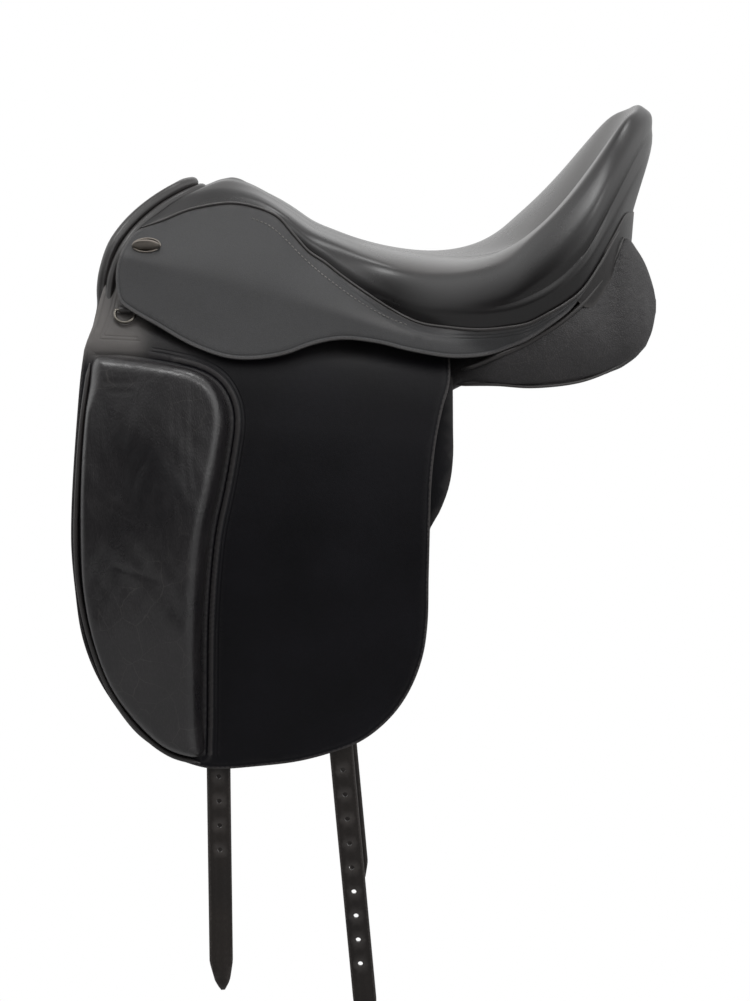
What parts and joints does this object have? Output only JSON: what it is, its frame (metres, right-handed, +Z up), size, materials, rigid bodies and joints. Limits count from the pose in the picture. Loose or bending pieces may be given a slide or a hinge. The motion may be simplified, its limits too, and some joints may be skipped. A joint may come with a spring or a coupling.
{
  "type": "english saddle",
  "caption": "Deep-seated dressage saddle with cut-back pommel, straight flaps with external padded knee blocks, flocked panels, small skirts and long girth straps.",
  "frame": {"origin": "centre of the gullet channel's roof under the waist of the seat, where the saddle sits over the horse's spine", "axes": "+X towards the cantle (rear), -Y to the near (left) side, +Z up"},
  "size_m": [0.502, 0.4462, 0.785],
  "materials": {
    "tree_wood": "satin",
    "tree_steel": "satin",
    "bar_steel": "polished",
    "webbing": "woven",
    "foam": "matt",
    "seat_leather": "smooth calf, semi-gloss",
    "trim_leather": "smooth, satin",
    "flap_leather": "grained bridle leather, satin",
    "block_leather": "creased soft leather, satin",
    "panel_leather": "soft grained leather",
    "strap_leather": "waxed strap leather",
    "nickel": "polished nickel"
  },
  "bodies": {
    "tree": {"cantle_facing": "seat_leather", "channel_liner": "trim_leather", "gullet_liner": "trim_leather", "gullet_plate": "tree_steel", "head_plate": "tree_steel", "left_bar_rivets": "tree_steel", "left_catch_pin": "bar_steel", "left_d_ring_chape": "trim_leather", "left_flap_top": "flap_leather", "left_girth_web": "webbing", "left_panel": "panel_leather", "left_panel_piping": "trim_leather", "left_seat_welt": "seat_leather", "left_skirt_seam": "flap_leather", "left_skirt_stud": "nickel", "left_stirrup_bar": "bar_steel", "left_sweat_flap_top": "flap_leather", "left_tree_rail": "tree_wood", "pommel_facing": "trim_leather", "pommel_roll": "trim_leather", "right_bar_rivets": "tree_steel", "right_catch_pin": "bar_steel", "right_d_ring_chape": "trim_leather", "right_flap_top": "flap_leather", "right_girth_web": "webbing", "right_panel": "panel_leather", "right_panel_piping": "trim_leather", "right_seat_welt": "seat_leather", "right_skirt_seam": "flap_leather", "right_skirt_stud": "nickel", "right_stirrup_bar": "bar_steel", "right_sweat_flap_top": "flap_leather", "right_tree_rail": "tree_wood", "seat_cover": "seat_leather", "seat_foam": "foam", "seat_webbing": "webbing", "tree_cantle": "tree_wood", "tree_head": "tree_wood"},
    "left_skirt": {"left_skirt": "flap_leather"},
    "left_flap": {"left_flap": "flap_leather", "left_knee_block": "block_leather", "left_block_piping": "trim_leather"},
    "left_sweat_flap": {"left_sweat_flap": "flap_leather"},
    "left_front_strap": {"left_front_strap": "strap_leather"},
    "left_front_strap_tail": {"left_front_strap_tail": "strap_leather"},
    "left_rear_strap": {"left_rear_strap": "strap_leather"},
    "left_rear_strap_tail": {"left_rear_strap_tail": "strap_leather"},
    "left_stirrup_catch": {"left_stirrup_catch": "bar_steel"},
    "left_d_ring": {"left_d_ring": "nickel"},
    "right_skirt": {"right_skirt": "flap_leather"},
    "right_flap": {"right_flap": "flap_leather", "right_knee_block": "block_leather", "right_block_piping": "trim_leather"},
    "right_sweat_flap": {"right_sweat_flap": "flap_leather"},
    "right_front_strap": {"right_front_strap": "strap_leather"},
    "right_front_strap_tail": {"right_front_strap_tail": "strap_leather"},
    "right_rear_strap": {"right_rear_strap": "strap_leather"},
    "right_rear_strap_tail": {"right_rear_strap_tail": "strap_leather"},
    "right_stirrup_catch": {"right_stirrup_catch": "bar_steel"},
    "right_d_ring": {"right_d_ring": "nickel"}
  },
  "joints": [
    {"name": "left_skirt_lift", "type": "hinge", "parent": "tree", "child": "left_skirt", "pos_m": [-0.08, -0.12964, 0.04325], "axis": [-0.9607, 0.1393, 0.2402], "range_deg": [0, 80]},
    {"name": "left_flap_lift", "type": "hinge", "parent": "tree", "child": "left_flap", "pos_m": [-0.132, -0.13952, -0.004], "axis": [-0.9952, 0.0398, 0.0896], "range_deg": [0, 85]},
    {"name": "left_sweat_flap_lift", "type": "hinge", "parent": "tree", "child": "left_sweat_flap", "pos_m": [-0.132, -0.145, -0.066], "axis": [0.9952, -0.0398, -0.0896], "range_deg": [0, 15]},
    {"name": "left_front_strap_swing", "type": "hinge", "parent": "tree", "child": "left_front_strap", "pos_m": [-0.16, -0.127, 0], "axis": [0, 1, 0], "range_deg": [-6, 6]},
    {"name": "left_rear_strap_swing", "type": "hinge", "parent": "tree", "child": "left_rear_strap", "pos_m": [-0.078, -0.131, -0.008], "axis": [0, 1, 0], "range_deg": [-6, 6]},
    {"name": "left_front_strap_fold", "type": "hinge", "parent": "left_front_strap", "child": "left_front_strap_tail", "pos_m": [-0.155, -0.18401, -0.3465], "axis": [-0.9952, 0.0398, 0.0896], "range_deg": [-30, 90]},
    {"name": "left_rear_strap_fold", "type": "hinge", "parent": "left_rear_strap", "child": "left_rear_strap_tail", "pos_m": [-0.0505, -0.18694, -0.331], "axis": [-0.9952, 0.0398, 0.0896], "range_deg": [-30, 90]},
    {"name": "left_catch_turn", "type": "hinge", "parent": "tree", "child": "left_stirrup_catch", "pos_m": [-0.114, -0.107, 0.05], "axis": [0, -1, 0], "range_deg": [0, 60]},
    {"name": "left_d_ring_swing", "type": "hinge", "parent": "tree", "child": "left_d_ring", "pos_m": [-0.234, -0.118, 0.038], "axis": [-1, 0, 0], "range_deg": [0, 22]},
    {"name": "right_skirt_lift", "type": "hinge", "parent": "tree", "child": "right_skirt", "pos_m": [-0.08, 0.12964, 0.04325], "axis": [0.9607, 0.1393, -0.2402], "range_deg": [0, 80]},
    {"name": "right_flap_lift", "type": "hinge", "parent": "tree", "child": "right_flap", "pos_m": [-0.132, 0.13952, -0.004], "axis": [0.9952, 0.0398, -0.0896], "range_deg": [0, 85]},
    {"name": "right_sweat_flap_lift", "type": "hinge", "parent": "tree", "child": "right_sweat_flap", "pos_m": [-0.132, 0.145, -0.066], "axis": [-0.9952, -0.0398, 0.0896], "range_deg": [0, 15]},
    {"name": "right_front_strap_swing", "type": "hinge", "parent": "tree", "child": "right_front_strap", "pos_m": [-0.165, 0.127, 0], "axis": [0, 1, 0], "range_deg": [-6, 6]},
    {"name": "right_rear_strap_swing", "type": "hinge", "parent": "tree", "child": "right_rear_strap", "pos_m": [-0.08, 0.131, -0.008], "axis": [0, 1, 0], "range_deg": [-6, 6]},
    {"name": "right_front_strap_fold", "type": "hinge", "parent": "right_front_strap", "child": "right_front_strap_tail", "pos_m": [-0.179, 0.18315, -0.3485], "axis": [0.9952, 0.0398, -0.0896], "range_deg": [-30, 90]},
    {"name": "right_rear_strap_fold", "type": "hinge", "parent": "right_rear_strap", "child": "right_rear_strap_tail", "pos_m": [-0.059, 0.18669, -0.332], "axis": [0.9952, 0.0398, -0.0896], "range_deg": [0, 80]},
    {"name": "right_catch_turn", "type": "hinge", "parent": "tree", "child": "right_stirrup_catch", "pos_m": [-0.114, 0.107, 0.05], "axis": [0, -1, 0], "range_deg": [0, 60]},
    {"name": "right_d_ring_swing", "type": "hinge", "parent": "tree", "child": "right_d_ring", "pos_m": [-0.234, 0.118, 0.038], "axis": [1, 0, 0], "range_deg": [0, 22]}
  ]
}
